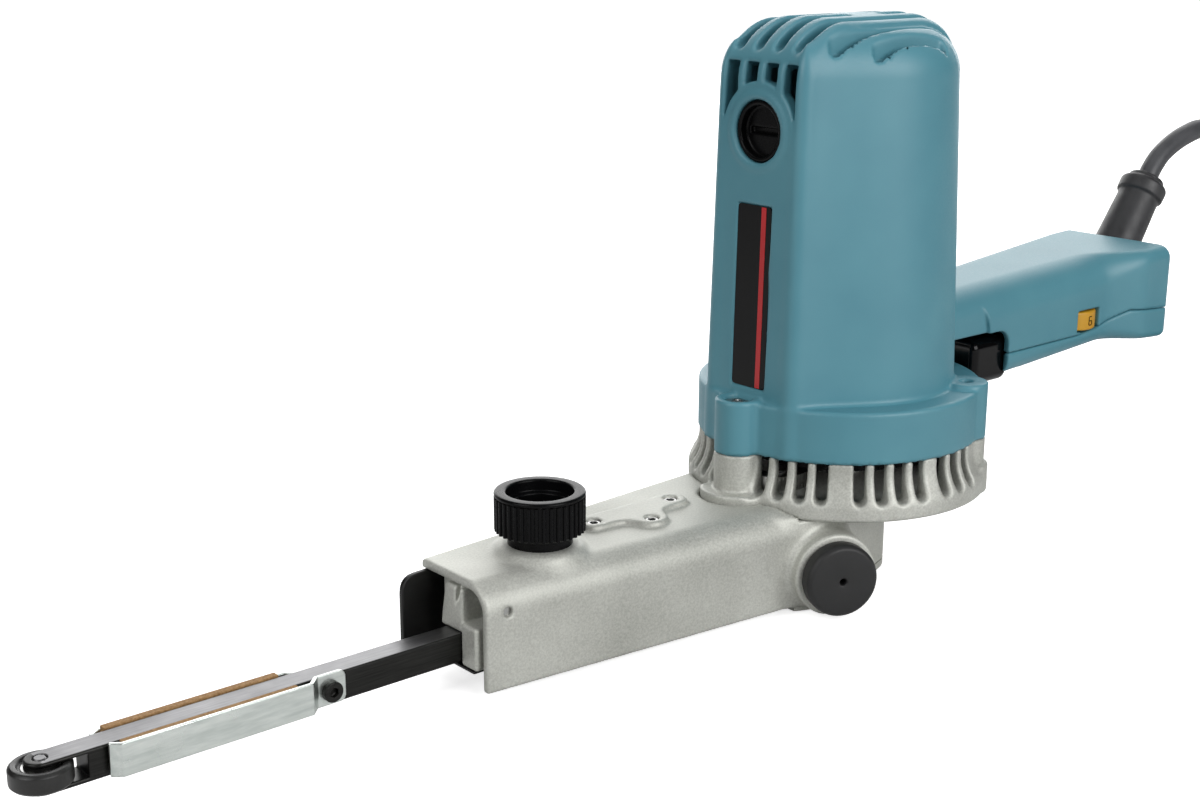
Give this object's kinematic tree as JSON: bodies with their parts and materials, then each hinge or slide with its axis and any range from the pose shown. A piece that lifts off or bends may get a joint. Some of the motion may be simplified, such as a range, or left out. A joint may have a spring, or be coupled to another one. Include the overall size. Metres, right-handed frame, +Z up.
{
  "type": "power file",
  "caption": "Hand-held electric belt file: upright motor on a cast gear housing, slim arm with a tip roller and wear shoes, rear handle with trigger, speed dial and corded plug.",
  "frame": {"origin": "centre of the tool's box on the surface it stands on, measured without the cord and what is on it", "axes": "+X from the tip roller to the handle, +Z up along the motor, -Y to the side with the rubber plug"},
  "size_m": [0.5245, 0.1583, 0.1635],
  "materials": {
    "teal_plastic": "satin moulded plastic",
    "cast_silver": "silver coated casting",
    "steel": "ground steel",
    "black_plastic": "black moulded plastic",
    "black_steel": "black coated sheet",
    "black_rubber": "black rubber",
    "cord_rubber": "dark grey cord jacket",
    "copper": "copper winding",
    "brass": "brass",
    "carbon": "pressed carbon",
    "cork": "cork",
    "yellow_plastic": "yellow plastic",
    "board": "circuit board",
    "chrome": "nickel plated"
  },
  "bodies": {
    "body": {"arm_housing": "cast_silver", "gear_housing": "cast_silver", "motor_housing": "teal_plastic", "nameplate": "black_plastic", "brush_caps": "black_plastic", "brush_holders": "brass", "carbon_brushes": "carbon", "stator_core": "steel", "field_coils": "copper", "fan_baffle": "black_plastic", "upper_motor_bearing": "steel", "lower_motor_bearing": "steel", "upper_spindle_bearing": "steel", "lower_spindle_bearing": "steel", "bottom_cover": "cast_silver", "cover_screws": "steel", "housing_screws": "steel", "pad_screws": "steel", "belt_guard": "black_steel", "port_plug": "black_rubber", "pivot_pin": "steel", "handle_upper": "teal_plastic", "handle_lower": "teal_plastic", "handle_screws": "steel", "switch_body": "black_plastic", "trigger_spring": "steel", "speed_board": "board", "cord_clamp": "black_plastic", "cord_guard": "black_rubber", "cord": "cord_rubber", "cord_coil": "cord_rubber", "cable_tie": "black_plastic", "plug_body": "black_rubber", "plug_pins": "chrome"},
    "armature": {"armature_shaft": "steel", "armature_core": "steel", "armature_windings": "copper", "commutator": "copper", "cooling_fan": "black_plastic", "pinion": "steel"},
    "spindle": {"spindle": "steel", "drive_gear": "steel", "pulley_hub": "cast_silver", "pulley_tyre": "black_rubber"},
    "holder": {"arm_holder": "cast_silver", "slide_plate": "black_steel", "tension_spring": "steel"},
    "arm": {"arm_bar": "steel", "roller_pin": "steel", "near_shoe": "steel", "far_shoe": "steel", "near_cork": "cork", "far_cork": "cork", "shoe_screws": "black_steel"},
    "roller": {"roller_hub": "steel", "roller_tyre": "black_rubber"},
    "knob": {"knob": "black_plastic", "knob_stud": "steel"},
    "trigger": {"trigger": "black_plastic"},
    "dial": {"speed_dial": "yellow_plastic"}
  },
  "joints": [
    {"name": "motor_spin", "type": "hinge", "parent": "body", "child": "armature", "pos_m": [0.06, 0, 0.09], "axis": [0, 0, 1], "continuous": true},
    {"name": "spindle_spin", "type": "hinge", "parent": "body", "child": "spindle", "pos_m": [0.0325, 0, 0.02], "axis": [0, 0, 1], "continuous": true},
    {"name": "arm_tilt", "type": "hinge", "parent": "body", "child": "holder", "pos_m": [-0.0745, 0, 0.0222], "axis": [0, 1, 0], "range_deg": [-1.37, 1.37]},
    {"name": "arm_slide", "type": "slide", "parent": "holder", "child": "arm", "axis": [1, 0, 0], "range_m": [0, 0.007], "stiffness_N_per_m": 1500, "springref_m": -0.01, "deforming": ["tension_spring"]},
    {"name": "roller_spin", "type": "hinge", "parent": "arm", "child": "roller", "pos_m": [-0.191, 0, 0.011], "axis": [0, 0, 1], "continuous": true},
    {"name": "knob_turn", "type": "hinge", "parent": "body", "child": "knob", "pos_m": [-0.0535, 0, 0.04], "axis": [0, 0, 1], "range_deg": [-180, 180]},
    {"name": "trigger_pull", "type": "slide", "parent": "body", "child": "trigger", "axis": [1, 0, 0], "range_m": [0, 0.005], "stiffness_N_per_m": 1200, "springref_m": -0.004, "deforming": ["trigger_spring"]},
    {"name": "dial_turn", "type": "hinge", "parent": "body", "child": "dial", "pos_m": [0.1603, -0.0096, 0.063], "axis": [0, 0, 1], "range_deg": [-150, 150]}
  ],
  "couplings": [
    {"joint": "spindle_spin", "follows": "motor_spin", "ratio": -0.48649},
    {"joint": "knob_turn", "follows": "arm_tilt", "ratio": 131.39}
  ]
}
